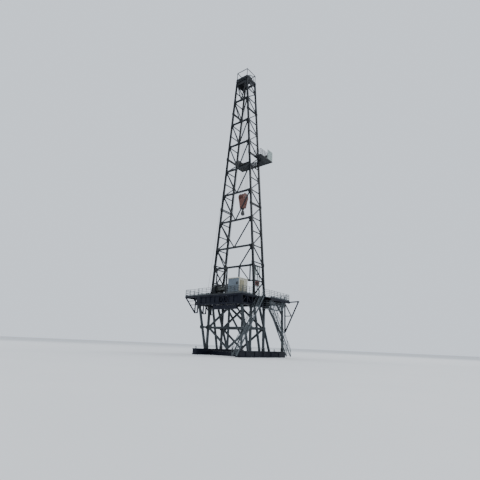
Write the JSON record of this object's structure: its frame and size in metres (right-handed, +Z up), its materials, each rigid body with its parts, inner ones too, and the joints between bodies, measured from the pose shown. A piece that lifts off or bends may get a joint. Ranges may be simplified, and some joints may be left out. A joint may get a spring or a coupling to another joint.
{
  "type": "oil drilling rig scale model (1:10)",
  "caption": "One-tenth model of a land drilling rig: lattice mast with crown and travelling block, on a high floor with a drawworks, cabin, stairs and railings.",
  "frame": {"origin": "on the ground, on the mast's centre-line, in the plane of the mast's back legs", "axes": "+X to the side of the cabin and the ladder, +Y towards the mast's open front, +Z up the mast"},
  "size_m": [1.5426, 1.418, 5.536],
  "materials": {
    "mast_paint": "satin",
    "navy_steel": "satin",
    "dark_steel": "satin",
    "galvanised_steel": "matte",
    "wire_rope": "matte",
    "rust_paint": "matte",
    "red_paint": "satin",
    "cabin_paint": "satin",
    "cream_paint": "satin",
    "pale_sheet": "matte",
    "glass": "gloss"
  },
  "bodies": {
    "rig": {"base_box_left": "navy_steel", "base_box_right": "navy_steel", "base_spreaders": "navy_steel", "side_frame_left": "mast_paint", "side_frame_right": "mast_paint", "rear_cross_frame": "mast_paint", "front_cross_frame": "mast_paint", "floor_box_left": "navy_steel", "floor_box_right": "navy_steel", "rear_floor_truss": "navy_steel", "floor_cross_beams": "navy_steel", "front_floor_frame": "navy_steel", "front_posts": "mast_paint", "floor_plates": "mast_paint", "rotary_table": "dark_steel", "mast_left_1": "mast_paint", "mast_left_2": "mast_paint", "mast_left_3": "mast_paint", "mast_left_4": "mast_paint", "mast_left_5": "mast_paint", "mast_right_1": "mast_paint", "mast_right_2": "mast_paint", "mast_right_3": "mast_paint", "mast_right_4": "mast_paint", "mast_right_5": "mast_paint", "back_bracing_1": "mast_paint", "back_bracing_2": "mast_paint", "back_bracing_3": "mast_paint", "back_bracing_4": "mast_paint", "back_bracing_5": "mast_paint", "crown_frame": "mast_paint", "crown_sheaves": "dark_steel", "drilling_lines": "wire_rope", "deadline": "wire_rope", "deadline_anchor": "mast_paint", "fast_line": "wire_rope", "racking_board": "mast_paint", "board_fingers": "mast_paint", "windwall": "pale_sheet", "mast_ladder": "galvanised_steel", "drawworks_frame": "mast_paint", "drawworks_drum": "wire_rope", "winch_stand": "pale_sheet", "air_winch": "red_paint", "cabin_walls": "cabin_paint", "cabin_roof": "cream_paint", "cabin_windows": "glass", "platform_left": "navy_steel", "platform_right": "navy_steel", "railing_left": "galvanised_steel", "railing_rear": "galvanised_steel", "railing_right": "galvanised_steel", "railing_front": "galvanised_steel", "stair_rear_sides": "galvanised_steel", "stair_rear_treads": "galvanised_steel", "stair_front_sides": "galvanised_steel", "stair_front_treads": "galvanised_steel", "stair_walkway": "galvanised_steel"},
    "block": {"travelling_block": "rust_paint", "hook": "dark_steel"}
  },
  "joints": [
    {"name": "block_travel", "type": "slide", "parent": "rig", "child": "block", "axis": [0, 0, 1], "range_m": [-0.9, 2], "deforming": ["drilling_lines"]}
  ]
}
